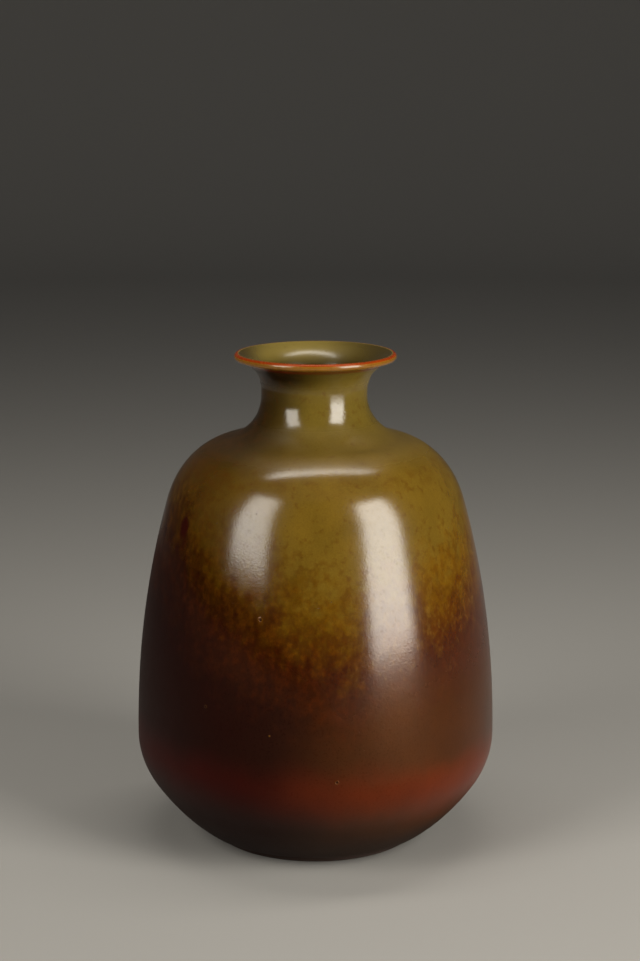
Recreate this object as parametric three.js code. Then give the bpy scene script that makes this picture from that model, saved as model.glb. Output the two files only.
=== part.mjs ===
// A stoneware vase: a wide turned body on a low foot ring, a waisted neck and a thin everted lip,
// olive glaze over a red-brown one. Millimetres and degrees, +Z up, the origin at the centre of the
// foot's standing face. The clay is thrown in three sections that are luted together at flat seams.
// Each glaze coat is a thin shell that follows the clay.
import * as THREE from "three";

// Foot ring, trimmed with a small bevel on both edges
const FOOT_RADIUS = 52;
const FOOT_HEIGHT = 5;
const FOOT_WIDTH = 7;
const FOOT_FLARE = 1.2;
const FOOT_BEVEL = 0.8;

// Outline of the finished body: the radius of each turning point and the rise that leads up to it
const HEEL_RADIUS = 59.2;
const LOWER_TURN_RADIUS = 83.5;
const LOWER_TURN_RISE = 25;
const BELLY_RADIUS = 91.5;
const BELLY_RISE = 23.5;
const SIDE_TOP_RADIUS = 75;
const SIDE_RISE = 122.5;
const SLOPE_RADIUS = 45.4;
const SHOULDER_RISE = 30.5;
const NECK_RADIUS = 26.75;
const NECK_ROOT_RISE = 22;
const NECK_STRAIGHT = 3.5;
const FLARE_RADIUS = 37.2;
const FLARE_RISE = 13.8;
const LIP_RADIUS = 40.75;
const LIP_THICKNESS = 3.5;

// Direction of the outline at its turning points: 0 is level and outward, 90 straight up
const HEEL_HEADING = 35;
const LOWER_TURN_HEADING = 54.5;
const UPRIGHT = 90;
const SIDE_TOP_HEADING = 106;
const SLOPE_HEADING = 168;
const LIP_HEADING = 19;
const INWARD = 180;

// Finished wall, from face to face, and the floor inside
const WALL_AT_FOOT = 7.5;
const WALL_AT_BELLY = 6;
const WALL_AT_SHOULDER = 5.2;
const WALL_AT_NECK = 4.2;
const FLOOR_RADIUS = 40;
const FLOOR_THICKNESS = 8;

// Glaze coats and the clearance that keeps them off the clay and off each other
const GLAZE_THICKNESS = 0.5;
const GLAZE_CLEARANCE = 0.3;
const HEEL_CHAMFER = 1.5;

// Facets of the turned shapes
const ROUND_FACETS = 40;
const CURVE_STEPS = 4;
const SHORT_CURVE_STEPS = 3;
const NOSE_STEPS = 4;
const OLIVE_START_STEP = 2;

const BARE_DEPTH = GLAZE_THICKNESS + GLAZE_CLEARANCE;

function heading(degrees) {
  const angle = THREE.MathUtils.degToRad(degrees);
  return new THREE.Vector2(Math.cos(angle), Math.sin(angle));
}

// A turning point of the outline, with its direction and the wall behind it
function turningPoint(radius, height, direction, wall) {
  return { point: new THREE.Vector2(radius, height), direction, wall };
}

// A station is a point of a face, with the normal that points out of the clay
function station(point, direction, wall) {
  return { point, normal: new THREE.Vector2(direction.y, -direction.x), wall };
}

// A curve that leaves one turning point and arrives at the next in their own directions. Its
// handles have the length that draws a round arc through the same turn.
function sweep(from, to, steps) {
  const turn = from.direction.angleTo(to.direction);
  const pull = from.point.distanceTo(to.point) / (3 * Math.cos(turn / 4) ** 2);
  const leaving = from.point.clone().addScaledVector(from.direction, pull);
  const arriving = to.point.clone().addScaledVector(to.direction, -pull);
  const curve = new THREE.CubicBezierCurve(from.point, leaving, arriving, to.point);
  const stations = [station(from.point, from.direction, from.wall)];
  for (let i = 1; i < steps; i += 1) {
    const t = i / steps;
    const wall = THREE.MathUtils.lerp(from.wall, to.wall, t);
    stations.push(station(curve.getPoint(t), curve.getTangent(t), wall));
  }
  stations.push(station(to.point, to.direction, to.wall));
  return stations;
}

// Runs of stations joined end to end, each shared point kept once
function chain(...runs) {
  return runs.flatMap((run, i) => (i === 0 ? run : run.slice(1)));
}

// The same face cut back into the wall by a depth
function atDepth(stations, depth) {
  return stations.map(({ point, normal }) => point.clone().addScaledVector(normal, -depth));
}

// The inner face that lies a wall's thickness behind an outer one, followed from the top down
function innerFace(stations) {
  const facing = stations.map(({ point, normal, wall }) => ({
    point: point.clone().addScaledVector(normal, -wall),
    normal: normal.clone().negate(),
  }));
  return facing.reverse();
}

// The outline's turning points, from the heel up to the start of the lip
function outlinePoints() {
  const lowerTurnHeight = FOOT_HEIGHT + LOWER_TURN_RISE;
  const bellyHeight = lowerTurnHeight + BELLY_RISE;
  const sideTopHeight = bellyHeight + SIDE_RISE;
  const slopeHeight = sideTopHeight + SHOULDER_RISE;
  const waistHeight = slopeHeight + NECK_ROOT_RISE;
  const neckTopHeight = waistHeight + NECK_STRAIGHT;
  const flareHeight = neckTopHeight + FLARE_RISE;
  const up = heading(UPRIGHT);
  const lowerTurn = heading(LOWER_TURN_HEADING);
  return {
    heel: turningPoint(HEEL_RADIUS, FOOT_HEIGHT, heading(HEEL_HEADING), WALL_AT_FOOT),
    lowerTurn: turningPoint(LOWER_TURN_RADIUS, lowerTurnHeight, lowerTurn, WALL_AT_FOOT),
    belly: turningPoint(BELLY_RADIUS, bellyHeight, up, WALL_AT_BELLY),
    sideTop: turningPoint(SIDE_TOP_RADIUS, sideTopHeight, heading(SIDE_TOP_HEADING), WALL_AT_SHOULDER),
    slope: turningPoint(SLOPE_RADIUS, slopeHeight, heading(SLOPE_HEADING), WALL_AT_SHOULDER),
    waist: turningPoint(NECK_RADIUS, waistHeight, up, WALL_AT_NECK),
    neckTop: turningPoint(NECK_RADIUS, neckTopHeight, up, WALL_AT_NECK),
    flare: turningPoint(FLARE_RADIUS, flareHeight, heading(LIP_HEADING), LIP_THICKNESS),
  };
}

// The lip's underside runs straight from the flare to the rounded nose. The nose is a half round
// as thick as the lip, square to the underside.
function lipPoints(flare) {
  const noseRadius = LIP_THICKNESS / 2;
  const along = flare.direction;
  const down = new THREE.Vector2(along.y, -along.x);
  const undersideRadius = LIP_RADIUS - noseRadius + noseRadius * down.x;
  const run = (undersideRadius - flare.point.x) / along.x;
  const edge = flare.point.clone().addScaledVector(along, run);
  const noseCentre = edge.clone().addScaledVector(down, -noseRadius);
  return { edge: turningPoint(edge.x, edge.y, along, LIP_THICKNESS), noseCentre, noseRadius, down };
}

// The nose from the underside's edge round to the mouth
function noseFace({ noseCentre, noseRadius, down }) {
  const stations = [];
  for (let i = 0; i <= NOSE_STEPS; i += 1) {
    const normal = down.clone().rotateAround(new THREE.Vector2(), (Math.PI * i) / NOSE_STEPS);
    const point = noseCentre.clone().addScaledVector(normal, noseRadius);
    stations.push({ point, normal });
  }
  return stations;
}

// The floor from the wall above it to the axis, where every turned face lies level
function floorFace(wallFoot) {
  const floorHeight = FOOT_HEIGHT + FLOOR_THICKNESS;
  const downTheWall = heading(LOWER_TURN_HEADING).negate();
  const start = turningPoint(wallFoot.x, wallFoot.y, downTheWall, WALL_AT_FOOT);
  const edge = turningPoint(FLOOR_RADIUS, floorHeight, heading(INWARD), FLOOR_THICKNESS);
  const centre = { point: new THREE.Vector2(0, floorHeight), normal: new THREE.Vector2(0, 1) };
  return [...sweep(start, edge, CURVE_STEPS), centre];
}

// Every face of the finished vase, outside from the heel up and inside from the mouth down
function finishedFaces() {
  const at = outlinePoints();
  const lip = lipPoints(at.flare);
  const heelRun = sweep(at.heel, at.lowerTurn, SHORT_CURVE_STEPS);
  const bellyRun = sweep(at.lowerTurn, at.belly, SHORT_CURVE_STEPS);
  const side = sweep(at.belly, at.sideTop, CURVE_STEPS);
  const closing = chain(sweep(at.sideTop, at.slope, CURVE_STEPS), sweep(at.slope, at.waist, CURVE_STEPS));
  const mouth = chain(
    sweep(at.waist, at.neckTop, 1),
    sweep(at.neckTop, at.flare, CURVE_STEPS),
    sweep(at.flare, lip.edge, 1),
  );
  const lowerInside = innerFace(bellyRun);
  const wallFoot = lowerInside[lowerInside.length - 1].point;
  return {
    lower: chain(heelRun, bellyRun),
    side,
    closing,
    mouth,
    nose: noseFace(lip),
    mouthInside: innerFace(mouth),
    upperInside: innerFace(chain(side, closing)),
    lowerInside: chain(lowerInside, floorFace(wallFoot)),
  };
}

function turned(name, profile, material) {
  const geometry = new THREE.LatheGeometry(profile, ROUND_FACETS);
  geometry.rotateX(Math.PI / 2);
  const mesh = new THREE.Mesh(geometry, material);
  mesh.name = name;
  return mesh;
}

function closed(points) {
  return [...points, points[0].clone()];
}

// A glaze coat over a run of stations. Its cut ends stand half a clearance back.
function coat(name, stations, material) {
  const last = stations.length - 1;
  const reachesAxis = stations[last].point.x === 0;
  const trimmed = stations.map(({ point, normal }, i) => {
    const forward = new THREE.Vector2(-normal.y, normal.x);
    const moved = point.clone();
    if (i === 0) moved.addScaledVector(forward, GLAZE_CLEARANCE / 2);
    if (i === last && !reachesAxis) moved.addScaledVector(forward, -GLAZE_CLEARANCE / 2);
    return { point: moved, normal };
  });
  const face = atDepth(trimmed, 0);
  const back = atDepth(trimmed, GLAZE_THICKNESS).reverse();
  return turned(name, reachesAxis ? [...back, ...face] : closed([...face, ...back]), material);
}

function footRing(material) {
  const inside = FOOT_RADIUS - FOOT_WIDTH;
  const profile = [
    new THREE.Vector2(inside + FOOT_BEVEL, 0),
    new THREE.Vector2(FOOT_RADIUS - FOOT_BEVEL, 0),
    new THREE.Vector2(FOOT_RADIUS, FOOT_BEVEL),
    new THREE.Vector2(FOOT_RADIUS + FOOT_FLARE, FOOT_HEIGHT),
    new THREE.Vector2(inside - FOOT_FLARE, FOOT_HEIGHT),
    new THREE.Vector2(inside, FOOT_BEVEL),
  ];
  return turned("foot_ring", closed(profile), material);
}

function lowerBody(faces, material) {
  const profile = [
    new THREE.Vector2(0, FOOT_HEIGHT),
    new THREE.Vector2(HEEL_RADIUS - HEEL_CHAMFER, FOOT_HEIGHT),
    ...atDepth(faces.lower, BARE_DEPTH),
    ...atDepth(faces.lowerInside, BARE_DEPTH),
  ];
  return turned("lower_body", profile, material);
}

function upperBody(faces, material) {
  const profile = [
    ...atDepth(chain(faces.side, faces.closing), BARE_DEPTH),
    ...atDepth(faces.upperInside, BARE_DEPTH),
  ];
  return turned("upper_body", closed(profile), material);
}

function mouthCollar(faces, material) {
  const rim = chain(faces.mouth, faces.nose, faces.mouthInside);
  return turned("mouth_collar", closed(atDepth(rim, BARE_DEPTH)), material);
}

function glazeCoats(faces, glazes) {
  const lowSide = faces.side.slice(0, OLIVE_START_STEP + 1);
  const highSide = faces.side.slice(OLIVE_START_STEP);
  const noseMiddle = NOSE_STEPS / 2;
  const undersideAndNose = chain(faces.mouth, faces.nose.slice(0, noseMiddle + 1));
  const inside = chain(faces.mouthInside, faces.upperInside, faces.lowerInside);
  return [
    coat("brown_glaze", chain(faces.lower, lowSide), glazes.brown),
    coat("olive_glaze", chain(highSide, faces.closing, undersideAndNose), glazes.olive),
    coat("lip_glaze", faces.nose.slice(noseMiddle), glazes.lip),
    coat("inner_glaze", inside, glazes.inner),
  ];
}

function clayMaterial() {
  return new THREE.MeshStandardMaterial({ color: 0x6f4a35, roughness: 0.85, metalness: 0 });
}

function glazeMaterials() {
  return {
    brown: new THREE.MeshStandardMaterial({ color: 0x5a2213, roughness: 0.22, metalness: 0 }),
    olive: new THREE.MeshStandardMaterial({ color: 0x6f5c24, roughness: 0.22, metalness: 0 }),
    lip: new THREE.MeshStandardMaterial({ color: 0xa04a1e, roughness: 0.3, metalness: 0 }),
    inner: new THREE.MeshStandardMaterial({ color: 0x7a6830, roughness: 0.25, metalness: 0 }),
  };
}

function stonewareVase() {
  const faces = finishedFaces();
  const clay = clayMaterial();
  const vase = new THREE.Group();
  vase.add(footRing(clay), lowerBody(faces, clay), upperBody(faces, clay), mouthCollar(faces, clay));
  vase.add(...glazeCoats(faces, glazeMaterials()));
  return vase;
}

export default stonewareVase();
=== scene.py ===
# Looks of a stoneware vase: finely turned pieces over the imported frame, layered glazes, a round
# pale stage and soft studio lamps. The vase's values are in millimetres and degrees, and those of
# the stage, the lamps and the camera in metres and degrees.
import math
import bpy
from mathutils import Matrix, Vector, noise


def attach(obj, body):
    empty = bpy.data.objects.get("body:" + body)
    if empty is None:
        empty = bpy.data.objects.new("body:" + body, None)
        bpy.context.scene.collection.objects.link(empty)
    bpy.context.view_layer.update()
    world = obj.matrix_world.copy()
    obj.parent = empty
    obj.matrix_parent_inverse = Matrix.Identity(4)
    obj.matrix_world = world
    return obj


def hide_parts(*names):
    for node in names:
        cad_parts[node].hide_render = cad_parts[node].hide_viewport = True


MM = 0.001

# Foot ring, with rounded edges, leaning sides and a cove up into the body
FOOT_RADIUS = 52.0
FOOT_HEIGHT = 5.0
FOOT_WIDTH = 7.0
FOOT_FLARE = 1.2
FOOT_ROUNDING = 0.8
FOOT_COVE = 2.2

# Turning points of the finished outline: radius, height, direction (0 level, 90 up) and wall
HEEL = (59.2, 5.0, 35.0, 7.5)
LOWER_TURN = (83.5, 30.0, 54.5, 7.5)
BELLY = (91.5, 53.5, 90.0, 6.0)
SIDE_TOP = (75.0, 176.0, 106.0, 5.2)
SLOPE = (45.4, 206.5, 168.0, 5.2)
WAIST = (26.75, 228.5, 90.0, 4.2)
NECK_TOP = (26.75, 232.0, 90.0, 4.2)
FLARE = (37.2, 245.8, 19.0, 3.5)
LIP_RADIUS = 40.75
FLOOR_EDGE = (40.0, 13.0, 180.0)
HEEL_CHAMFER = 1.5

# Glaze coats: their thickness, the depth of the clay under them and where the brown one ends
GLAZE = 0.5
UNDER_GLAZE = 0.55
COAT_SEAM = 115.0

# Fineness of the turned meshes
SEGMENTS = 240
RING_SPACING = 1.3
MOUTH_SPACING = 0.8
WALL_SPACING = 4.0
BACK_SPACING = 8.0
NOSE_RINGS = 24
FLOOR_RINGS = (40, 38, 35, 30, 24, 18, 12, 6, 2, 0)
ROUNDING_STEPS = 6
COVE_STEPS = 7
BEAD_STEPS = 6
SHARP_ANGLE = 40.0
ON_AXIS = 1e-6

# Trimming grooves under the body
GROOVE_DEPTH = 0.1
GROOVE_PITCH = 2.4
GROOVE_SPACING = 0.6
GROOVES_FROM = 1.0

# Slow unevenness of the thrown wall, with finer unevenness on top of it
DRIFT = 0.07
DRIFT_SIZE = 36.0
DRIFT_GIRTH = 62.0
FINE_DRIFT = 0.35
FINE_DRIFT_SCALE = 2.3
FINE_DRIFT_SHIFT = (7, 3, 1)
STEADY_RADIUS = 1.0

# The collar's lean, and the lip's sink and waver
LEAN = -0.6
LEAN_FROM = 205.0
LIP_TOP = 249.95
LIP_SINK = 0.06
LIP_WAVER = 0.14
WAVER_PHASE = 0.8
WAVER_FROM = 238.0
WAVER_RISE = 12.0

# Throwing ripple inside, from just above the floor until it fades out below the neck
RIPPLE = 0.35
RIPPLE_PITCH = 6.5
RIPPLE_BOTTOM = FLOOR_EDGE[1] + 1
RIPPLE_TOP = 226.0
RIPPLE_FADE = 20.0


# Outline

def heading(degrees):
    angle = math.radians(degrees)
    return Vector((math.cos(angle), math.sin(angle)))


def outward(direction):
    return Vector((direction.y, -direction.x))


def cubic(points, t):
    """Place and direction on a cubic curve."""
    a, b, c, d = points
    s = 1 - t
    place = a * s**3 + b * (3 * s * s * t) + c * (3 * s * t * t) + d * t**3
    along = (b - a) * (s * s) + (c - b) * (2 * s * t) + (d - c) * (t * t)
    return place, along.normalized()


def sweep(start, end, spacing=RING_SPACING):
    """Stations (place, outward normal, wall) from one turning point to the next, first one kept."""
    first, last = Vector(start[:2]), Vector(end[:2])
    leaving, arriving = heading(start[2]), heading(end[2])
    chord = (last - first).length
    pull = chord / (3 * math.cos(leaving.angle(arriving) / 4) ** 2)
    points = (first, first + leaving * pull, last - arriving * pull, last)
    steps = max(2, round(chord / spacing))
    stations = []
    for i in range(steps):
        t = i / steps
        place, along = cubic(points, t)
        stations.append((place, outward(along), start[3] + (end[3] - start[3]) * t))
    return stations


def station_at(turn):
    return (Vector(turn[:2]), outward(heading(turn[2])), turn[3])


def lip_underside():
    """Where the lip's straight underside ends, and the centre of its rounded nose."""
    along, start, nose = heading(FLARE[2]), Vector(FLARE[:2]), FLARE[3] / 2
    down = outward(along)
    edge = start + along * ((LIP_RADIUS - nose + nose * down.x - start.x) / along.x)
    return edge, edge - down * nose


def nose_faces():
    """The nose's lower and upper halves."""
    _, centre = lip_underside()
    radius = FLARE[3] / 2
    stations = []
    for i in range(NOSE_RINGS + 1):
        normal = heading(FLARE[2] - 90 + 180 * i / NOSE_RINGS)
        stations.append((centre + normal * radius, normal, FLARE[3]))
    middle = NOSE_RINGS // 2
    return stations[: middle + 1], stations[middle:]


def outer_runs():
    """The outside in runs: heel to belly, side, shoulder, neck up to the lip's nose."""
    edge, _ = lip_underside()
    lip_edge = (edge.x, edge.y, FLARE[2], FLARE[3])
    low = sweep(HEEL, LOWER_TURN) + sweep(LOWER_TURN, BELLY)
    side = sweep(BELLY, SIDE_TOP)
    closing = sweep(SIDE_TOP, SLOPE) + sweep(SLOPE, WAIST)
    flaring = sweep(NECK_TOP, FLARE, MOUTH_SPACING) + sweep(FLARE, lip_edge, MOUTH_SPACING)
    mouth = sweep(WAIST, NECK_TOP) + flaring + [station_at(lip_edge)]
    return low, side, closing, mouth


def inside_of(stations):
    """The inner face behind a run of outer stations, from the top down."""
    return [(place - normal * wall, -normal, wall) for place, normal, wall in reversed(stations)]


def floor_run(wall_foot):
    """The floor inside, from the wall's foot to the axis."""
    start = (wall_foot.x, wall_foot.y, LOWER_TURN[2] + 180, 0)
    up = Vector((0, 1))
    level = [(Vector((radius, FLOOR_EDGE[1])), up, 0) for radius in FLOOR_RINGS]
    return sweep(start, (*FLOOR_EDGE, 0)) + level


def inner_runs(side, closing, mouth):
    """The inside in runs from the mouth down: the collar's, the upper body's and the lower one's."""
    upper = inside_of(side + closing + [station_at(WAIST)])
    lower = inside_of(sweep(LOWER_TURN, BELLY) + [station_at(BELLY)])
    return inside_of(mouth), upper, lower[:-1] + floor_run(lower[-1][0])


def at_depth(stations, depth):
    return [place - normal * depth for place, normal, _ in stations]


def thinned(stations, spacing):
    """Fewer stations for a hidden face, both ends kept."""
    kept = [stations[0]]
    for station in stations[1:-1]:
        if (station[0] - kept[-1][0]).length >= spacing:
            kept.append(station)
    return kept + [stations[-1]]


def split_at(stations, height):
    """A run cut in two at a height, with the same station ending one and starting the other."""
    index = next(i for i, station in enumerate(stations) if station[0].y >= height)
    return stations[: index + 1], stations[index:]


# Turned meshes with the traces of the hand

def uneven(azimuth, height):
    """How far the thrown wall stands inside its true radius, in millimetres. Never above zero."""
    girth = DRIFT_GIRTH / DRIFT_SIZE
    where = Vector((math.cos(azimuth) * girth, math.sin(azimuth) * girth, height / DRIFT_SIZE))
    fine = noise.noise(where * FINE_DRIFT_SCALE + Vector(FINE_DRIFT_SHIFT))
    slow = noise.noise(where) + FINE_DRIFT * fine
    return DRIFT * (min(slow, 1) - 1)


def placed(azimuth, radius, height, ripple):
    """A point of a turned face with the traces of the hand, in metres."""
    if radius > STEADY_RADIUS:
        radius += uneven(azimuth, height)
    if ripple and height > RIPPLE_BOTTOM:
        radius += RIPPLE * ripple * math.sin(2 * math.pi * height / RIPPLE_PITCH + azimuth)
    lean_share = max(0.0, height - LEAN_FROM) / (LIP_TOP - LEAN_FROM)
    lean = LEAN * math.sin(math.pi * min(1.0, lean_share)) ** 2
    waver = LIP_SINK + LIP_WAVER * (1 - math.cos(2 * azimuth + WAVER_PHASE)) / 2
    low = waver * max(0.0, (height - WAVER_FROM) / WAVER_RISE)
    x = radius * math.sin(azimuth) + lean
    y = -radius * math.cos(azimuth)
    return (x * MM, y * MM, (height - low) * MM)


def turned(name, profile, ripple=None):
    """A mesh object turned from a profile of (radius, height) points. The profile either closes on
    itself or starts and ends on the axis. ripple gives each point's share of the inside ripple."""
    shares = ripple or [0] * len(profile)
    vertices, rings = [], []
    for (radius, height), share in zip(profile, shares):
        first = len(vertices)
        if radius < ON_AXIS:
            vertices.append((0, 0, height * MM))
            rings.append([first] * SEGMENTS)
            continue
        for j in range(SEGMENTS):
            azimuth = 2 * math.pi * j / SEGMENTS
            vertices.append(placed(azimuth, radius, height, share))
        rings.append(list(range(first, first + SEGMENTS)))
    next_rings = rings[1:] if profile[0][0] < ON_AXIS else rings[1:] + rings[:1]
    faces = []
    for low, high in zip(rings, next_rings):
        for j in range(SEGMENTS):
            k = (j + 1) % SEGMENTS
            corners = [low[j], low[k], high[k], high[j]]
            faces.append([v for i, v in enumerate(corners) if v != corners[i - 1]])
    mesh = bpy.data.meshes.new(name)
    mesh.from_pydata(vertices, [], faces)
    mesh.validate()
    mesh.polygons.foreach_set("use_smooth", [True] * len(mesh.polygons))
    mesh.set_sharp_from_angle(angle=math.radians(SHARP_ANGLE))
    piece = bpy.data.objects.new(name, mesh)
    bpy.context.scene.collection.objects.link(piece)
    return piece


def dress(piece, material, node):
    piece.data.materials.append(material)
    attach(piece, "root")
    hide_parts(node)


# Pieces

def foot_edge(centre_radius, start):
    """A rounded lower edge of the foot ring: a quarter turn from its start direction."""
    centre = Vector((centre_radius, FOOT_ROUNDING))
    turns = [start + 90 / ROUNDING_STEPS * i for i in range(ROUNDING_STEPS + 1)]
    return [centre + heading(turn) * FOOT_ROUNDING for turn in turns]


def foot_side(radius, outwards):
    """A side of the foot ring, from its rounded edge up to the body. outwards is 1 or -1."""
    points = []
    for i in range(1, COVE_STEPS + 1):
        t = i / COVE_STEPS
        lean, cove = outwards * FOOT_FLARE * t, outwards * FOOT_COVE * t**4
        points.append(Vector((radius + lean + cove, FOOT_ROUNDING + (FOOT_HEIGHT - FOOT_ROUNDING) * t)))
    return points


def foot_ring_profile():
    inside = FOOT_RADIUS - FOOT_WIDTH
    outer = foot_edge(FOOT_RADIUS - FOOT_ROUNDING, -90) + foot_side(FOOT_RADIUS, 1)
    inner = foot_side(inside, -1)[::-1] + foot_edge(inside + FOOT_ROUNDING, 180)
    return outer + inner


def trimmed_underside():
    """The level face under the body, from the axis to the heel."""
    points = [Vector((0, FOOT_HEIGHT))]
    radius = GROOVES_FROM
    while radius < HEEL[0] - HEEL_CHAMFER:
        groove = GROOVE_DEPTH / 2 * (1 - math.cos(2 * math.pi * radius / GROOVE_PITCH))
        points.append(Vector((radius, FOOT_HEIGHT + groove)))
        radius += GROOVE_SPACING
    return points


def hidden_clay(stations, spacing=BACK_SPACING):
    """The clay under a glazed face, in fewer rings."""
    return at_depth(thinned(stations, spacing), UNDER_GLAZE)


def lower_body_profile(outside, inside):
    return trimmed_underside() + hidden_clay(outside) + hidden_clay(inside)


def upper_body_profile(outside):
    wall = thinned(outside, WALL_SPACING)
    return at_depth(wall, UNDER_GLAZE) + at_depth(inside_of(wall), UNDER_GLAZE)


def collar_profile(outside, nose, inside):
    return at_depth(outside[::2] + nose + inside[::2], UNDER_GLAZE)


def bead(station, forward):
    """A rounded end of a coat, from its back to its face."""
    place, normal, _ = station
    centre = place - normal * GLAZE / 2
    points = []
    for i in range(1, BEAD_STEPS):
        angle = math.pi * i / BEAD_STEPS
        back, ahead = normal * math.cos(angle), forward * math.sin(angle)
        points.append(centre - back * GLAZE / 2 - ahead * GLAZE / 2)
    return points


def shell_profile(stations):
    """A coat's closed section: its face forwards, its back in fewer rings."""
    return at_depth(stations, 0) + at_depth(thinned(stations, BACK_SPACING), GLAZE)[::-1]


def brown_coat_profile(stations):
    return shell_profile(stations) + bead(stations[0], heading(HEEL[2]))


def liner_profile(inside):
    """The liner's section, its back first, and each point's share of the ripple."""
    back = at_depth(thinned(inside, BACK_SPACING), GLAZE)[::-1]
    ripple = [min(1.0, max(0.0, (RIPPLE_TOP - place.y) / RIPPLE_FADE)) for place, _, _ in inside]
    return back + at_depth(inside, 0), [0] * len(back) + ripple


def build_pieces(materials):
    low, side, closing, mouth = outer_runs()
    belly, waist = station_at(BELLY), station_at(WAIST)
    under_nose, over_nose = nose_faces()
    mouth_inside, upper_inside, low_inside = inner_runs(side, closing, mouth)
    brown, olive = split_at(low + side + closing, COAT_SEAM)
    nose = under_nose[1:] + over_nose[1:]
    liner, ripple = liner_profile(mouth_inside[:-1] + upper_inside[:-1] + low_inside)
    rows = (
        ("foot_ring_turned", "foot_ring", "clay", foot_ring_profile()),
        ("lower_body_thrown", "lower_body", "clay", lower_body_profile(low + [belly], low_inside)),
        ("upper_body_thrown", "upper_body", "clay", upper_body_profile(side + closing + [waist])),
        ("mouth_collar_thrown", "mouth_collar", "clay", collar_profile(mouth, nose, mouth_inside)),
        ("brown_glaze_coat", "brown_glaze", "brown_glaze", brown_coat_profile(brown)),
        ("olive_glaze_coat", "olive_glaze", "olive_glaze", shell_profile(olive + mouth[:-1] + under_nose)),
        ("lip_glaze_line", "lip_glaze", "lip_glaze", shell_profile(over_nose)),
        ("inner_glaze_coat", "inner_glaze", "inner_glaze", liner),
    )
    pieces = []
    for name, node, slot, profile in rows:
        piece = turned(name, profile, ripple if node == "inner_glaze" else None)
        dress(piece, materials[slot], node)
        pieces.append(piece)
    return pieces


# Colours and the layout of the glazes

def colour(red, green, blue):
    """A colour from its usual 0 to 255 values, as the linear one that a shader takes."""
    def linear(value):
        value /= 255
        return value / 12.92 if value <= 0.04045 else ((value + 0.055) / 1.055) ** 2.4
    return (linear(red), linear(green), linear(blue), 1.0)


OLIVE = colour(99, 76, 20)
# Dark olive for the iron specks, and also painted shade towards -X
DARK_OLIVE_AND_SHADE = colour(72, 47, 4)
NECK_OLIVE = colour(98, 81, 28)
# Painted shade on the neck's -X side
NECK_PAINTED_SHADE = colour(44, 27, 1)
# Painted shadow under the lip
PAINTED_LIP_SHADOW = colour(20, 7, 1)
OCHRE = colour(95, 64, 5)
FLECK = colour(120, 88, 32)
TAWNY = colour(76, 41, 2)
MAHOGANY = colour(56, 19, 1)
BROWN = colour(60, 27, 3)
# Maroon for the brown coat towards -X, partly painted shade
SHADED_MAROON = colour(20, 1, 1)
# Rust band towards +X, partly painted light; crimson at its -X end, partly painted shade, and the smear's
# own colour
LIT_RUST = colour(88, 28, 1)
CRIMSON = colour(42, 2, 2)
# Near black for pits, pinpricks and grog, and for the dark base, partly painted shade
NEAR_BLACK_AND_SHADE = colour(9, 1, 1)
AMBER = colour(128, 84, 20)
LIP_RED = colour(140, 51, 3)
LIP_BROWN = colour(110, 32, 5)
INNER_OLIVE = colour(124, 107, 49)
# Darker olive inside: random clouds, and painted shade deep in the mouth and at its ends
INNER_DARK_AND_SHADE = colour(50, 37, 7)
CLAY = colour(112, 74, 52)
CLAY_DARK = colour(70, 44, 32)
# Painted shade on the foot's outside
CLAY_PAINTED_SHADE = colour(34, 20, 14)
FLOOR_TONE = colour(162, 160, 157)
WORLD_TONE = colour(240, 240, 240)

# Reflections off the iron-red glaze are warm and weaker than those off the olive one
OLIVE_GLINT = (1.0, 1.0, 1.0, 1.0)
BROWN_GLINT = (0.75, 0.42, 0.24, 1.0)
EDGE_GLINT = (0.45, 0.20, 0.06, 1.0)
MAROON_GLINT = (0.28, 0.10, 0.05, 1.0)
SHADED_GLINT = (0.15, 0.10, 0.05, 1.0)
LIP_GLINT = (0.60, 0.38, 0.22, 1.0)

# Iron-rich glaze bends light a little more than window glass does
GLAZE_IOR = 1.6

# The olive coat's lower edge: its mean height, and its sway down towards one azimuth
EDGE_HEIGHT = 160.0
EDGE_SWAY = 31.0
LOWEST_AZIMUTH = 22.0

# Where that edge hangs lower in tongues, or stands higher: azimuth, half width around and reach.
# The back tongue's azimuth is counted from the back.
FRONT_TONGUE = (8.0, 18.0, 10.0)
BACK_TONGUE = (15.0, 45.0, 44.0)
LEFT_LIFT = (-62.0, 22.0, 18.0)

# Heights above that edge between which one colour gives way to the next
BROWN_TO_FRINGE = (-54.0, -14.0)
MAHOGANY_TO_TAWNY = (-22.0, 2.0)
TAWNY_TO_OCHRE = (-2.0, 16.0)
OCHRE_TO_OLIVE = (10.0, 38.0)

# Where the colour changes across the vase, from its -X side to its +X side. Towards -X
# # the colours darken, partly as the glazes' own change and partly as painted shade away
# # from the key lamp, and towards +X painted light brightens them. The glossy side sets
# # roughness and reflections only.
WARM_AND_LIT_SIDE = (-4.0, 72.0)
RUST_LIGHT_SIDE = (-20.0, 90.0)
PAINTED_SHADE_SIDE = (25.0, -75.0)
FRINGE_LIGHT_SIDE = (-60.0, 85.0)
GLOSSY_SIDE = (-30.0, 50.0)

# Heights on the vase between which the outer coats change. A band starts, is full, fades and ends.
RUST_BAND = (24.0, 49.0, 49.0, 68.0)
# The dark base: near-black glaze, partly painted shade where the body faces down
DARK_BASE_AND_SHADE = (40.0, 8.0)
DULL_BASE = (22.0, 42.0)
GREEN_NECK = (196.0, 222.0)
# Heights of the painted shade on the neck's -X side
PAINTED_SHADE_NECK = (186.0, 210.0)
# Heights of the painted shadow under the lip
LIP_SHADOW_HEIGHTS = (231.0, 241.0)
# The brown break under the lip's nose, partly painted shade of its overhang
LIP_BREAK_AND_SHADE = (243.4, 245.0)
AMBER_EDGE = (245.4, 246.1)
SHELTERED_BAND = (228.0, 241.0, 245.6, 246.6)
ROOT_BAND = (198.0, 205.0, 212.0, 219.0)
WAIST_BAND = (213.0, 222.0, 226.0, 241.0)

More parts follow.
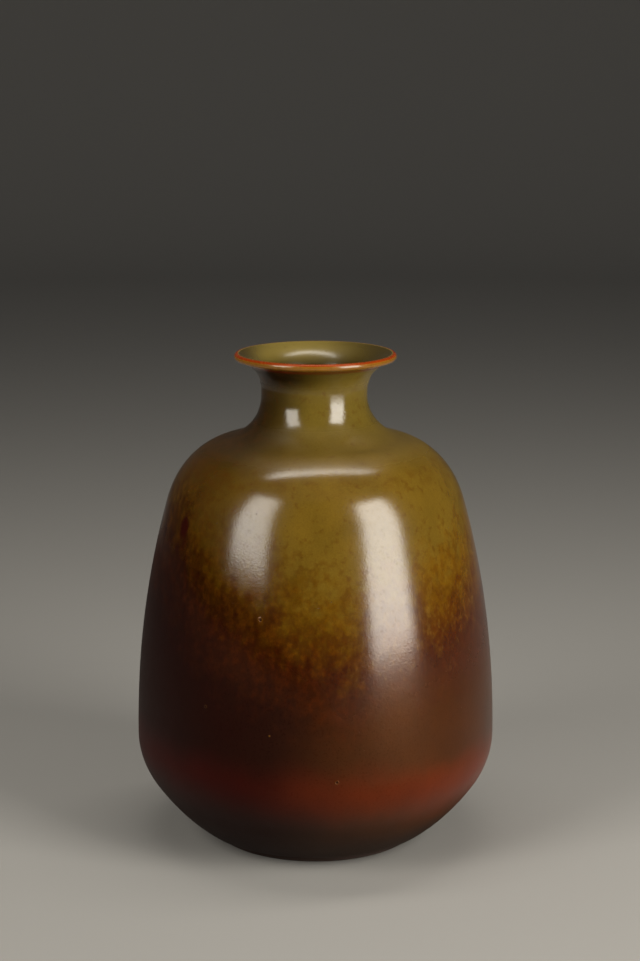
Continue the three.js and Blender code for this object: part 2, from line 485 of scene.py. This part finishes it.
# Where the olive thins over the shoulder's turn: height and half width
SHOULDER_TURN = (195.0, 4.0)

# The dark red smear on the left shoulder: azimuth, half width around, height and half height
SMEAR_HEAD = (-57.0, 3.2, 171.0, 5.0)
SMEAR_TAIL = (-56.0, 4.5, 159.0, 9.0)

# Single marks of the glaze: azimuth, height, size and whether it is a pit
MARKS = (
    (-18.0, 133.4, 0.9, True),
    (6.5, 55.5, 0.8, True),
    (-14.0, 78.0, 0.7, False),
    (-36.0, 88.0, 0.6, True),
    (150.0, 120.0, 0.9, True),
    (-120.0, 160.0, 0.7, True),
)

# A mark's full part, and the radius and width of a pit's rim, as shares of its size
MARK_CORE = 0.3
RIM_RADIUS = 1.1
RIM_WIDTH = 0.4

# The lip's red line: the heights between which it takes over from the amber edge, and how far
# inside the nose's middle it has faded into the liner's olive
RED_LINE = (248.8, 249.15)
RED_LINE_FADE = 0.35

# Inside the mouth: painted shade that deepens with depth, and towards its left and right ends
MOUTH_SHADE_DEPTH = (247.0, 239.0)
LEFT_END = (-22.0, -38.0)
RIGHT_END = (-6.0, 34.0)

# Where the bare clay of the foot is darkened by painted shade, by radius
FOOT_SHADE_RADII = (49.5, 51.5)

# The Mix node's sockets for each kind of value: first, second and result
MIX_SOCKETS = {"RGBA": (6, 7, 2), "FLOAT": (2, 3, 0)}


# Materials

class Shader:
    """One material's node tree. Each method adds nodes and returns an output. Heights and sizes
    are in millimetres of the vase's own frame."""

    def __init__(self, name):
        self.material = bpy.data.materials.new(name)
        self.material.use_nodes = True
        self.nodes = self.material.node_tree.nodes
        self.links = self.material.node_tree.links
        self.surface = self.nodes["Principled BSDF"]
        self.mm = self.vector("SCALE", self.add("ShaderNodeTexCoord").outputs["Object"], scale=1 / MM)
        self.x, self.y, self.z = self.add("ShaderNodeSeparateXYZ", Vector=self.mm).outputs
        squares = [self.math("MULTIPLY", side, side) for side in (self.x, self.y)]
        self.radius = self.math("SQRT", self.math("ADD", *squares))

    def add(self, kind, settings=None, **inputs):
        node = self.nodes.new(kind)
        for key, value in (settings or {}).items():
            setattr(node, key, value)
        for key, value in inputs.items():
            self.feed(node.inputs[key], value)
        return node

    def feed(self, socket, value):
        if isinstance(value, bpy.types.NodeSocket):
            self.links.new(value, socket)
        else:
            socket.default_value = value

    def math(self, operation, *values):
        node = self.add("ShaderNodeMath", {"operation": operation})
        for socket, value in zip(node.inputs, values):
            self.feed(socket, value)
        return node.outputs[0]

    def vector(self, operation, first, second=None, scale=None):
        node = self.add("ShaderNodeVectorMath", {"operation": operation})
        self.feed(node.inputs[0], first)
        if second is not None:
            self.feed(node.inputs[1], second)
        if scale is not None:
            node.inputs["Scale"].default_value = scale
        return node.outputs[0]

    def total(self, *values):
        result = values[0]
        for value in values[1:]:
            result = self.math("ADD", result, value)
        return result

    def times(self, *values):
        result = values[0]
        for value in values[1:]:
            result = self.math("MULTIPLY", result, value)
        return result

    def rise(self, value, low, high):
        """0 at low, 1 at high and smooth between them. low may be the larger of the two."""
        node = self.add("ShaderNodeMapRange", {"interpolation_type": "SMOOTHSTEP"}, Value=value)
        self.feed(node.inputs["From Min"], low)
        self.feed(node.inputs["From Max"], high)
        return node.outputs[0]

    def band(self, value, start, full, fading, end):
        """1 from full to fading, and 0 before start and after end."""
        return self.times(self.rise(value, start, full), self.rise(value, end, fading))

    def hump(self, value, centre, width):
        """1 at the centre, falling away smoothly over a width."""
        offset = self.math("DIVIDE", self.math("SUBTRACT", value, centre), width)
        return self.math("EXPONENT", self.times(offset, offset, -1.0))

    def hump_around(self, azimuth, centre, width):
        """A hump around the vase, with its centre and width in degrees."""
        return self.hump(azimuth, math.radians(centre), math.radians(width))

    def azimuth(self):
        """Radians from the front, positive towards +X."""
        return self.math("ARCTAN2", self.x, self.math("MULTIPLY", self.y, -1))

    def noise(self, size, detail=2.0, stretch=1.0, shift=0.0, roughness=0.5):
        """Noise about zero with features of a size, stretched along the height."""
        place = self.vector("MULTIPLY", self.mm, (1, 1, 1 / stretch))
        place = self.vector("ADD", place, (shift, shift * 0.7, -shift))
        node = self.add("ShaderNodeTexNoise", Vector=place, Scale=1 / size)
        self.feed(node.inputs["Detail"], detail)
        self.feed(node.inputs["Roughness"], roughness)
        return self.math("SUBTRACT", node.outputs[0], 0.5)

    def waver(self, amount, size, **settings):
        """The same noise, times an amount."""
        return self.times(self.noise(size, **settings), amount)

    def spots(self, spacing, size, shift=0.0):
        """Sparse round spots: 1 at their middles."""
        place = self.vector("ADD", self.mm, (shift, shift, shift))
        node = self.add("ShaderNodeTexVoronoi", Vector=place, Scale=1 / spacing)
        return self.math("SUBTRACT", 1.0, self.rise(node.outputs["Distance"], 0.0, size / spacing))

    def between(self, kind, factor, first, second):
        a, b, result = MIX_SOCKETS[kind]
        node = self.add("ShaderNodeMix", {"data_type": kind})
        self.feed(node.inputs["Factor"], factor)
        self.feed(node.inputs[a], first)
        self.feed(node.inputs[b], second)
        return node.outputs[result]

    def mix(self, factor, first, second):
        """A colour between two others."""
        return self.between("RGBA", factor, first, second)

    def blend(self, factor, first, second):
        """A number between two others."""
        return self.between("FLOAT", factor, first, second)

    def over(self, body, tint, mask, share):
        """A body colour with a tint laid over it where a mask says, up to a share."""
        return self.mix(self.times(mask, share), body, tint)

    def scaled(self, tint, factor):
        """A colour made lighter or darker by a factor."""
        grey = self.add("ShaderNodeCombineXYZ", X=factor, Y=factor, Z=factor).outputs[0]
        return self.vector("MULTIPLY", tint, grey)

    def bump(self, *layers):
        """Chained bumps of (height, depth in millimetres)."""
        normal = None
        for height, depth in layers:
            node = self.add("ShaderNodeBump", Height=height, Distance=depth * MM)
            if normal:
                self.links.new(normal, node.inputs["Normal"])
            normal = node.outputs["Normal"]
        self.links.new(normal, self.surface.inputs["Normal"])

    def finish(self, body, roughness):
        self.feed(self.surface.inputs["Base Color"], body)
        self.feed(self.surface.inputs["Roughness"], roughness)

    def glaze(self, body, roughness, glint=None):
        self.finish(body, roughness)
        self.surface.inputs["IOR"].default_value = GLAZE_IOR
        if glint is not None:
            self.feed(self.surface.inputs["Specular Tint"], glint)


def radius_at(height):
    """Finished radius at a height of the side."""
    stations = sweep(LOWER_TURN, BELLY) + sweep(BELLY, SIDE_TOP) + sweep(SIDE_TOP, SLOPE)
    return min(stations, key=lambda station: abs(station[0].y - height))[0].x


def marks(s):
    """Masks of the pits, the rims around them and the blobs."""
    pits, rims, blobs = [], [], []
    for azimuth, height, size, is_pit in MARKS:
        angle, radius = math.radians(azimuth), radius_at(height)
        node = s.add("ShaderNodeVectorMath", {"operation": "DISTANCE"})
        s.feed(node.inputs[0], s.mm)
        node.inputs[1].default_value = (radius * math.sin(angle), -radius * math.cos(angle), height)
        away = node.outputs["Value"]
        mask = s.rise(away, size, size * MARK_CORE)
        (pits if is_pit else blobs).append(mask)
        if is_pit:
            rims.append(s.hump(away, size * RIM_RADIUS, size * RIM_WIDTH))
    return s.total(*pits), s.total(*rims), s.total(*blobs)


def tongue(s, azimuth, centre, width, reach):
    return s.times(s.hump_around(azimuth, centre, width), reach)


def olive_edge(s, azimuth):
    """Height of the olive coat's lower edge: lowest right of the front, with a tongue there and one
    behind, and higher on the left."""
    behind = s.math("ARCTAN2", s.math("MULTIPLY", s.x, -1), s.y)
    turn = s.math("SUBTRACT", azimuth, math.radians(LOWEST_AZIMUTH))
    sway = s.times(s.math("COSINE", turn), EDGE_SWAY)
    front, back = tongue(s, azimuth, *FRONT_TONGUE), tongue(s, behind, *BACK_TONGUE)
    left = tongue(s, azimuth, *LEFT_LIFT)
    return s.math("SUBTRACT", s.math("ADD", EDGE_HEIGHT, left), s.total(sway, front, back))


def olive_levels(s, azimuth):
    """How far above that edge a point lies: calm for the gloss, and mottled for the colour."""
    wander = s.waver(20.0, 30.0, detail=1.0)
    blotch = s.noise(6.5, stretch=1.2, shift=11)
    mottle = s.noise(3.2, stretch=1.2, shift=23)
    calm = s.total(s.math("SUBTRACT", s.z, olive_edge(s, azimuth)), wander, s.times(blotch, 12.0))
    level = s.total(calm, s.times(blotch, 28.0), s.times(mottle, 21.0))
    return calm, level


def brown_coat(s, side, warmth_and_light):
    """Maroon towards -X and warmer towards +X, with a rust band above a dark base. The maroon
    and the band's crimson towards -X are partly painted shade, the band's orange towards +X is
    partly painted light, and the dark base is partly painted shade where the body faces down.
    """
    height = s.total(s.z, s.times(s.x, 0.06), s.waver(12.0, 22.0, shift=41))
    # The rust band: orange towards +X is partly painted light, crimson towards -X partly painted shade
    rust = s.mix(s.rise(side, *RUST_LIGHT_SIDE), CRIMSON, LIT_RUST)
    # Maroon towards -X, partly painted shade, and brown towards +X
    brown = s.mix(s.band(height, *RUST_BAND), s.mix(warmth_and_light, SHADED_MAROON, BROWN), rust)
    # Near black at the base, partly painted shade where the body faces down
    return s.mix(s.rise(height, *DARK_BASE_AND_SHADE), brown, NEAR_BLACK_AND_SHADE)


def olive_coat(s, side, facing):
    """Greener on the neck, thin and brown over the shoulder's turn, darkened by painted shade
    towards -X and on the neck's -X side, darkened by painted shadow under the lip, brown where
    it breaks under the lip's nose, partly painted shade there, and amber at its edge."""
    olive = s.mix(s.rise(s.z, *GREEN_NECK), OLIVE, NECK_OLIVE)
    # Painted shade: the olive darkens towards -X, away from the key lamp
    olive = s.mix(s.rise(side, *PAINTED_SHADE_SIDE), olive, DARK_OLIVE_AND_SHADE)
    # Painted shade on the neck and shoulder towards -X
    painted_shade = s.times(s.rise(s.z, *PAINTED_SHADE_NECK), s.rise(facing, -0.1, -1.05))
    olive = s.mix(painted_shade, olive, NECK_PAINTED_SHADE)
    patchy = s.rise(s.noise(8.0, detail=3.0, stretch=0.5, shift=71), -0.12, 0.2)
    olive = s.over(olive, TAWNY, s.times(s.hump(s.z, *SHOULDER_TURN), patchy), 0.35)
    # Painted shadow under the lip's overhang, darkest towards -X
    under = s.times(s.rise(s.z, *LIP_SHADOW_HEIGHTS), s.rise(facing, 0.45, -0.5))
    olive = s.over(olive, PAINTED_LIP_SHADOW, under, 0.9)
    # Brown break under the lip's nose, partly painted shade
    olive = s.over(olive, LIP_BROWN, s.rise(s.z, *LIP_BREAK_AND_SHADE), 0.7)
    return s.mix(s.rise(s.z, *AMBER_EDGE), olive, AMBER)


def joined(s, level, side, brown, olive):
    """One coat over the other, through mahogany, tawny brown and ochre."""
    fringe = s.mix(s.rise(level, *MAHOGANY_TO_TAWNY), MAHOGANY, TAWNY)
    fringe = s.mix(s.rise(level, *TAWNY_TO_OCHRE), fringe, OCHRE)
    # Painted shade darkens the fringe towards -X, and painted light brightens it towards +X
    fringe = s.scaled(fringe, s.blend(s.rise(side, *FRINGE_LIGHT_SIDE), 0.55, 1.12))
    fringe = s.mix(s.rise(level, *OCHRE_TO_OLIVE), fringe, olive)
    return s.mix(s.rise(level, *BROWN_TO_FRINGE), brown, fringe)


def mottled(s, body, level, facing, warmth_and_light):
    """Light flecks where the coats meet, and soft brown blotches in the olive, denser towards its
    edge and to the left."""
    specks = s.rise(s.noise(1.9, detail=1.0, stretch=1.7, shift=47), 0.0, 0.28)
    body = s.over(body, FLECK, s.times(specks, s.hump(level, 4.0, 22.0), warmth_and_light), 0.26)
    olive_share = s.rise(level, -10.0, 20.0)
    dense = s.total(s.times(s.rise(level, 62.0, 8.0), 0.16), s.times(s.rise(facing, -0.3, -1.0), 0.07))
    cells = s.rise(s.total(s.noise(3.4, stretch=1.1, shift=83), dense), 0.06, 0.30)
    body = s.over(body, TAWNY, s.times(cells, olive_share), 0.42)
    iron = s.rise(s.total(s.noise(1.5, stretch=1.1, shift=29), s.times(dense, 0.4)), 0.16, 0.32)
    return s.over(body, DARK_OLIVE_AND_SHADE, s.times(iron, olive_share), 0.4)


def clouded(s, body, calm, warmth_and_light):
    """Lighter and darker in a fine grain, in slow clouds and in curds where the coats meet."""
    grain = s.math("ADD", 1.0, s.waver(0.35, 0.8, shift=53))
    cloud = s.math("ADD", 1.0, s.waver(0.45, 13.0, detail=3.0, stretch=1.3, shift=61))
    curds = s.noise(3.4, detail=3.0, stretch=1.15, shift=97, roughness=0.6)
    curd = s.math("SUBTRACT", s.rise(curds, -0.1, 0.22), 0.38)
    curdle = s.times(curd, s.hump(calm, -18.0, 32.0), s.blend(warmth_and_light, 0.7, 0.25))
    return s.scaled(body, s.times(grain, cloud, s.math("ADD", 1.0, curdle)))


def smudge(s, azimuth, centre, width, height, spread):
    return s.times(s.hump_around(azimuth, centre, width), s.hump(s.z, height, spread))


def smeared(s, body, azimuth):
    """The dark red smear on the left shoulder."""
    head, tail = smudge(s, azimuth, *SMEAR_HEAD), smudge(s, azimuth, *SMEAR_TAIL)
    ragged = s.waver(0.8, 5.0, detail=3.0, stretch=1.5, shift=37)
    stain = s.rise(s.total(head, s.times(tail, 0.6), ragged), 0.3, 0.9)
    return s.over(body, CRIMSON, stain, 0.9)


def outer_glint(s, calm, facing, glossy, sheltered):
    """Reflections: neutral off the olive, weak and warm off the brown, weakest in the lip's shelter,
    and broken up by fine freckles."""
    neutral = s.rise(calm, s.blend(glossy, 3.0, -44.0), s.blend(glossy, 22.0, 14.0))
    brown = s.mix(s.rise(facing, 0.55, 0.85), s.mix(glossy, MAROON_GLINT, BROWN_GLINT), EDGE_GLINT)
    glint = s.mix(sheltered, s.mix(neutral, brown, OLIVE_GLINT), SHADED_GLINT)
    freckle = s.rise(s.noise(1.0, detail=1.0, shift=67), 0.04, 0.22)
    return s.scaled(glint, s.math("SUBTRACT", 1.0, s.times(freckle, 0.3)))


def outer_roughness(s, calm, glossy, sheltered):
    """Glassy on the olive, hazy on the brown, dull to the left, at the base and under the lip."""
    glassy = s.rise(calm, s.blend(glossy, -34.0, -44.0), s.blend(glossy, -4.0, 0.0))
    hazy = s.blend(s.rise(s.z, *DULL_BASE), 0.7, s.blend(glossy, 0.58, 0.30))
    root = s.times(s.band(s.z, *ROOT_BAND), 0.2)
    waist = s.times(s.band(s.z, *WAIST_BAND), -0.04)
    uneven_gloss = s.waver(0.06, 5.0, detail=3.0, shift=91)
    return s.total(s.blend(glassy, hazy, 0.175), root, s.times(sheltered, 0.16), waist, uneven_gloss)


def outer_glaze():
    """The olive glaze over the red-brown one, in one material for both coats, because they fade
    into each other."""
    s = Shader("olive_over_red_brown")
    azimuth = s.azimuth()
    facing = s.math("DIVIDE", s.x, s.radius)
    side = s.total(s.x, s.math("MULTIPLY", s.y, -0.25), s.waver(30.0, 40.0, detail=1.0, shift=5))
    # Rises towards +X: warmer glaze and painted light there, painted shade away from it
    warmth_and_light = s.rise(side, *WARM_AND_LIT_SIDE)
    calm, level = olive_levels(s, azimuth)
    body = joined(s, level, side, brown_coat(s, side, warmth_and_light), olive_coat(s, side, facing))
    body = mottled(s, body, level, facing, warmth_and_light)
    body = clouded(s, body, calm, warmth_and_light)
    body = smeared(s, body, azimuth)

    pits, rims, blobs = marks(s)
    pinpricks = s.rise(s.spots(7.0, 0.5, 13), 0.4, 0.9)
    body = s.mix(s.math("MAXIMUM", s.times(pits, 0.6), s.times(pinpricks, 0.35)), body, NEAR_BLACK_AND_SHADE)
    # Blobs lightened with amber, and the rims around the pits lightened with amber as a painted glint
    body = s.mix(s.math("MAXIMUM", s.times(blobs, 0.4), s.times(rims, 0.14)), body, AMBER)

    glossy = s.rise(side, *GLOSSY_SIDE)
    sheltered = s.band(s.z, *SHELTERED_BAND)
    roughness = outer_roughness(s, calm, glossy, sheltered)
    s.glaze(body, roughness, outer_glint(s, calm, facing, glossy, sheltered))
    swell = s.noise(9.0, detail=1.0, shift=7)
    peel = s.noise(1.2, detail=3.0, shift=3, roughness=0.6)
    stipple = s.noise(0.8, detail=1.0, shift=59)
    finish = ((swell, 0.03), (peel, 0.03), (stipple, 0.02))
    flaws = ((pits, -0.35), (rims, 0.14), (s.times(pinpricks, -1.0), 0.12), (blobs, 0.2))
    s.bump(*finish, *flaws)
    return s.material


def lip_glaze():
    """A crisp red line over the arris, between the amber edge outside and the liner's olive."""
    s = Shader("lip_line_glaze")
    nose = lip_underside()[1].x
    outer = s.rise(s.math("ADD", s.radius, s.waver(0.3, 1.6)), nose - RED_LINE_FADE, nose)
    upper = s.rise(s.math("ADD", s.z, s.waver(0.4, 2.2, shift=9)), *RED_LINE)
    red = s.over(LIP_RED, LIP_BROWN, s.rise(s.noise(6.0, shift=19), -0.15, 0.3), 0.35)
    body = s.mix(s.math("SUBTRACT", 1.0, outer), s.mix(upper, AMBER, red), INNER_OLIVE)
    roughness = s.math("ADD", 0.27, s.waver(0.08, 3.0))
    s.glaze(body, roughness, s.mix(s.times(upper, outer), OLIVE_GLINT, LIP_GLINT))
    s.bump((s.noise(1.1, shift=3), 0.015))
    return s.material


def inner_glaze():
    """The olive liner, clouded, with iron specks, and darkened by painted shade down the neck and
    at the mouth's ends.
    """
    s = Shader("liner_glaze")
    cloud = s.rise(s.noise(12.0, detail=3.0, shift=5), -0.2, 0.25)
    body = s.over(INNER_OLIVE, INNER_DARK_AND_SHADE, cloud, 0.15)
    # Painted shade deep in the mouth
    body = s.over(body, INNER_DARK_AND_SHADE, s.rise(s.z, *MOUTH_SHADE_DEPTH), 0.9)
    # Painted shade towards the mouth's left and right ends
    ends = s.math("MAXIMUM", s.rise(s.x, *LEFT_END), s.rise(s.x, *RIGHT_END))
    body = s.over(body, INNER_DARK_AND_SHADE, ends, 0.85)
    iron = s.rise(s.noise(3.2, detail=3.0, shift=29), 0.12, 0.28)
    body = s.over(body, BROWN, iron, 0.3)
    s.glaze(body, s.math("ADD", 0.25, s.waver(0.06, 5.0)))
    s.bump((s.noise(9.0, detail=1.0, shift=7), 0.06), (s.noise(1.3, shift=3), 0.018))
    return s.material


def clay():
    """Bare stoneware, patchy and grainy with dark grog, and darkened by painted shade towards the
    foot's outside, which stands in the heel's shadow.
    """
    s = Shader("bare_stoneware")
    patch = s.rise(s.noise(14.0, detail=3.0, shift=17), -0.2, 0.25)
    body = s.over(CLAY, CLAY_DARK, patch, 0.6)
    body = s.over(body, CLAY_DARK, s.rise(s.noise(0.9, detail=3.0), -0.15, 0.2), 0.35)
    grog = s.rise(s.spots(3.2, 0.5, 3), 0.35, 0.8)
    body = s.over(body, NEAR_BLACK_AND_SHADE, grog, 0.6)
    # Painted shade on the foot's outside, under the heel
    foot_shade = s.rise(s.math("ADD", s.radius, s.waver(2.0, 2.5)), *FOOT_SHADE_RADII)
    body = s.over(body, CLAY_PAINTED_SHADE, foot_shade, 0.9)
    s.finish(body, s.math("ADD", 0.82, s.waver(0.2, 2.0)))
    s.bump((s.noise(0.7, detail=3.0, shift=5), 0.05), (grog, 0.06))
    return s.material


def build_materials():
    """The material for each of the record's slots."""
    outer = outer_glaze()
    return {
        "brown_glaze": outer,
        "olive_glaze": outer,
        "lip_glaze": lip_glaze(),
        "inner_glaze": inner_glaze(),
        "clay": clay(),
    }


# Stage, lamps and camera

# Camera at the photograph's viewing angle, with its lens and sensor in millimetres
CAMERA_PLACE = (0.0023, -1.1242, 0.42286)
CAMERA_PITCH = 11.98
LENS = 85.0
SENSOR = 36.0

# Round stage: where its floor starts to bend up, the bend's radius and the wall's height
STAGE_FLAT = 2.4
STAGE_BEND = 1.6
STAGE_HEIGHT = 5.0
STAGE_SIDES = 96
FLAT_STEPS = 4
BEND_STEPS = 16
FLOOR_ROUGHNESS = 0.9
FLOOR_GLOSS = 0.1

# Tall lamps that face the vase's axis: azimuth, height of the middle, width, height and radiance
BOX_DISTANCE = 0.93
RIGHT_BOX = (50.0, 0.53, 0.48, 0.94, 9.9)
LEFT_BOX = (-48.0, 0.745, 0.44, 0.87, 6.7)

# The oval lamp above, and the weak one behind, which lights the vase alone: place, target, width,
# height and radiance
TOP_BOX = ((0.03, 0.07, 1.10), (0.03, 0.07, 0.2), 0.95, 0.15, 9.0)
TOP_TURN = 14.0
BACK_FILL = ((0.0, 1.25, 0.50), (0, 0, 0.14), 1.2, 0.8, 2.2)
WARM_WHITE = (1.0, 0.957, 0.87)
WORLD_LEVEL = 0.1


def stage_section():
    """The stage's section as (radius, height), from its innermost ring to the wall's top."""
    section = [(STAGE_FLAT * i / FLAT_STEPS, 0.0) for i in range(1, FLAT_STEPS + 1)]
    for i in range(1, BEND_STEPS + 1):
        turn = math.pi / 2 * i / BEND_STEPS
        section.append((STAGE_FLAT + STAGE_BEND * math.sin(turn), STAGE_BEND * (1 - math.cos(turn))))
    return section + [(STAGE_FLAT + STAGE_BEND, STAGE_HEIGHT)]


def floor_material():
    material = bpy.data.materials.new("pale_floor")
    material.use_nodes = True
    surface = material.node_tree.nodes["Principled BSDF"]
    surface.inputs["Base Color"].default_value = FLOOR_TONE
    surface.inputs["Roughness"].default_value = FLOOR_ROUGHNESS
    surface.inputs["Specular IOR Level"].default_value = FLOOR_GLOSS
    return material


def build_floor():
    """A round floor that curves up into a wall, so that no view shows a horizon."""
    section = stage_section()
    vertices = [(0, 0, 0)]
    for radius, height in section:
        for j in range(STAGE_SIDES):
            angle = 2 * math.pi * j / STAGE_SIDES
            vertices.append((radius * math.cos(angle), radius * math.sin(angle), height))
    faces = []
    for j in range(STAGE_SIDES):
        k = (j + 1) % STAGE_SIDES
        faces.append((0, 1 + j, 1 + k))
        for i in range(len(section) - 1):
            low, high = 1 + i * STAGE_SIDES, 1 + (i + 1) * STAGE_SIDES
            faces.append((low + j, high + j, high + k, low + k))
    mesh = bpy.data.meshes.new("pale_floor")
    mesh.from_pydata(vertices, [], faces)
    mesh.polygons.foreach_set("use_smooth", [True] * len(mesh.polygons))
    mesh.materials.append(floor_material())
    floor = bpy.data.objects.new("pale_floor", mesh)
    bpy.context.scene.collection.objects.link(floor)


def softbox(name, place, target, width, height, radiance, shape="RECTANGLE"):
    """A lamp that faces a target. Radiance 1 looks white."""
    lamp = bpy.data.lights.new(name, "AREA")
    lamp.shape = shape
    lamp.size, lamp.size_y = width, height
    area = width * height * (math.pi / 4 if shape == "ELLIPSE" else 1)
    lamp.energy = radiance * math.pi * area
    lamp.color = WARM_WHITE
    box = bpy.data.objects.new(name, lamp)
    box.location = place
    facing = Vector(target) - Vector(place)
    box.rotation_euler = facing.to_track_quat("-Z", "Y").to_euler()
    bpy.context.scene.collection.objects.link(box)
    return box


def standing_box(name, azimuth, middle, width, height, radiance):
    """A tall lamp beside the camera, upright and facing the vase's axis."""
    angle = math.radians(azimuth)
    place = (BOX_DISTANCE * math.sin(angle), -BOX_DISTANCE * math.cos(angle), middle)
    softbox(name, place, (0, 0, middle), width, height, radiance)


def light_alone(lamp, pieces):
    """Keep a lamp's light to the pieces, and the lamp itself out of sight and reflections."""
    lamp.visible_camera = False
    lamp.visible_glossy = False
    lit = bpy.data.collections.new("lit_from_behind")
    for piece in pieces:
        lit.objects.link(piece)
    lamp.light_linking.receiver_collection = lit


def build_lights(pieces):
    standing_box("right_box", *RIGHT_BOX)
    standing_box("left_box", *LEFT_BOX)
    top = softbox("top_box", *TOP_BOX, "ELLIPSE")
    top.rotation_euler.z += math.radians(TOP_TURN)
    light_alone(softbox("back_fill", *BACK_FILL), pieces)
    world = bpy.data.worlds.new("studio")
    bpy.context.scene.world = world
    world.use_nodes = True
    background = world.node_tree.nodes["Background"]
    background.inputs["Color"].default_value = WORLD_TONE
    background.inputs["Strength"].default_value = WORLD_LEVEL


def build_camera():
    lens = bpy.data.cameras.new("camera")
    lens.lens = LENS
    lens.sensor_width = SENSOR
    lens.sensor_fit = "AUTO"
    camera = bpy.data.objects.new("camera", lens)
    camera.location = CAMERA_PLACE
    camera.rotation_euler = (math.radians(90 - CAMERA_PITCH), 0, 0)
    bpy.context.scene.collection.objects.link(camera)
    bpy.context.scene.camera = camera


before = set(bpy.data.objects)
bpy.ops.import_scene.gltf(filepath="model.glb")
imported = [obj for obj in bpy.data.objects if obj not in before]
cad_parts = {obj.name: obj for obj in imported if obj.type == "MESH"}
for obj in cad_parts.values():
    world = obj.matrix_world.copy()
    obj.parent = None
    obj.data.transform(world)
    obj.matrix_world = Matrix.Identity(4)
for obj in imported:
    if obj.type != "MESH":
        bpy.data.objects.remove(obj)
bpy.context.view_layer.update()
bpy.context.scene.view_settings.view_transform = "Standard"
build_camera()
build_floor()
pieces = build_pieces(build_materials())
build_lights(pieces)
